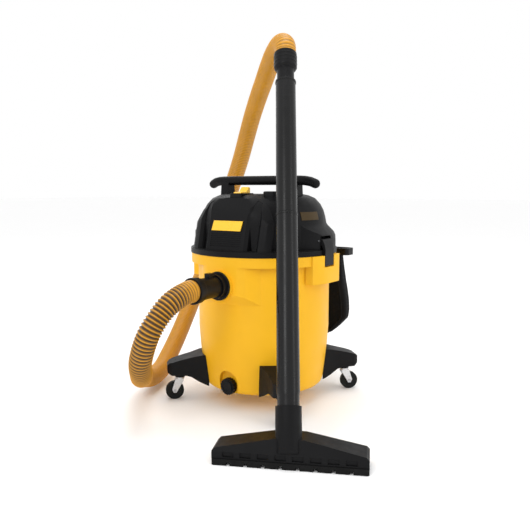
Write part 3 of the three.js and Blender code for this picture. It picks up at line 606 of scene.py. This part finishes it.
# ---- Small details on the CAD nodes -------------------------------------------------------------
def lathe(name, profile, place, material, body):
    """A closed ring profile of (radius, height) in millimetres, turned about the place's Z axis."""
    segments = 36
    count = len(profile)
    verts, faces = [], []
    for i in range(segments):
        angle = 2 * math.pi * i / segments
        for radius, height in profile:
            point = Vector((radius * math.cos(angle), radius * math.sin(angle), height)) * MM
            verts.append(place @ point)
    for i in range(segments):
        a, b = i * count, ((i + 1) % segments) * count
        for k in range(count):
            n = (k + 1) % count
            faces.append((a + k, b + k, b + n, a + n))
    piece = new_piece(name, verts, faces, material, body)
    mesh = bmesh.new()
    mesh.from_mesh(piece.data)
    bmesh.ops.recalc_face_normals(mesh, faces=mesh.faces)
    mesh.to_mesh(piece.data)
    mesh.free()
    bevel(piece, 0.25 * MM)


def facing(point, direction):
    """A frame at a point, with its Z axis along a direction."""
    turn = Vector(direction).normalized().to_track_quat("Z", "Y").to_matrix().to_4x4()
    return Matrix.Translation(point) @ turn


WAND_TOP = Vector((85, -26.5, 922))
WAND_FOOT = Vector((306, -356, 60))


def ring_profile(inner, outer, middle, half_inner, half_outer):
    """A raised ring: its inner and outer radius, its height and its half width at each radius."""
    return [
        (inner, middle - half_inner), (outer, middle - half_outer),
        (outer, middle + half_outer), (inner, middle + half_inner),
    ]


def make_details():
    """Ribs on the hose cuff, beads on the wands, wheel hubs and the rim on the drain cap."""
    on_wand = facing(at(*WAND_TOP), WAND_TOP - WAND_FOOT)
    for index, down in enumerate((10, 20, 30)):
        profile = ring_profile(29.4, 30.1, -down, 1.6, 1.1)
        lathe(f"cuff_rib_{index}", profile, on_wand, mat_black_smooth, "base")
    for name, down in (("upper", 84), ("middle", 446)):
        profile = ring_profile(25.2, 26.6, -down, 3, 2.2)
        lathe(f"wand_bead_{name}", profile, on_wand, mat_wand, "base")
    hub_profile = [(3.6, 6.9), (14, 6.9), (14, 7.5), (8, 8.1), (3.6, 8.1)]
    for corner, degrees in CORNER_ANGLES.items():
        turn = math.radians(degrees)
        hub = at(WHEEL_CIRCLE * math.cos(turn), WHEEL_CIRCLE * math.sin(turn), WHEEL_HEIGHT)
        side = Vector((-math.sin(turn), math.cos(turn), 0))
        for name, sign in (("a", 1), ("b", -1)):
            lathe(f"hub_{corner}_{name}", hub_profile, facing(hub, side * sign),
                  mat_black_smooth, f"wheel_{corner}")
    drain = facing(at(0, -174, 63), (0, -1, 0))
    lathe("drain_cap_rim", [(12, -0.2), (16.8, -0.2), (16.8, 1.3), (12.6, 1.3)], drain,
          mat_black_smooth, "drain_plug")


make_details()


# ---- Floor and light --------------------------------------------------------------------------
FLOOR_REACH = 30  # metres from the middle to each side of the floor


def make_stage():
    mesh = bpy.data.meshes.new("floor")
    corners = [(x * FLOOR_REACH, y * FLOOR_REACH, FLOOR)
               for x, y in ((-1, -1), (1, -1), (1, 1), (-1, 1))]
    mesh.from_pydata(corners, [], [(0, 1, 2, 3)])
    floor = bpy.data.objects.new("floor", mesh)
    bpy.context.scene.collection.objects.link(floor)
    g = Graph("floor")
    g.colour(g.mix(g.noise(3, 2), (0.975, 0.975, 0.975), (0.99, 0.99, 0.99)))
    g.shader.inputs["Roughness"].default_value = 0.9
    g.shader.inputs["Specular IOR Level"].default_value = 0.1
    mesh.materials.append(g.material)


def area_light(name, location, target, size, power):
    data = bpy.data.lights.new(name, "AREA")
    data.shape = "RECTANGLE"
    data.size, data.size_y = size
    data.energy = power
    light = bpy.data.objects.new(name, data)
    light.location = location
    direction = Vector(target) - Vector(location)
    light.rotation_euler = direction.to_track_quat("-Z", "Y").to_euler()
    bpy.context.scene.collection.objects.link(light)


make_stage()
area_light("key", (0.2, -2.8, 2.2), (0, 0, 0.35), (0.9, 1.6), 22)
area_light("fill", (2.9, 0.2, 1.6), (0, 0, 0.3), (0.6, 2.2), 10)
area_light("top", (0.1, 0.2, 3.2), (0, 0, 0), (1.8, 1.8), 26)
area_light("rim", (-2.2, 2.2, 1.8), (0, 0, 0.4), (0.8, 1.8), 8)

world = bpy.data.worlds.new("studio")
world.use_nodes = True
background = world.node_tree.nodes["Background"]
background.inputs["Color"].default_value = (1, 1, 1, 1)
background.inputs["Strength"].default_value = 1.0
bpy.context.scene.world = world
bpy.context.scene.view_settings.view_transform = "Standard"
bpy.context.scene.view_settings.look = "None"
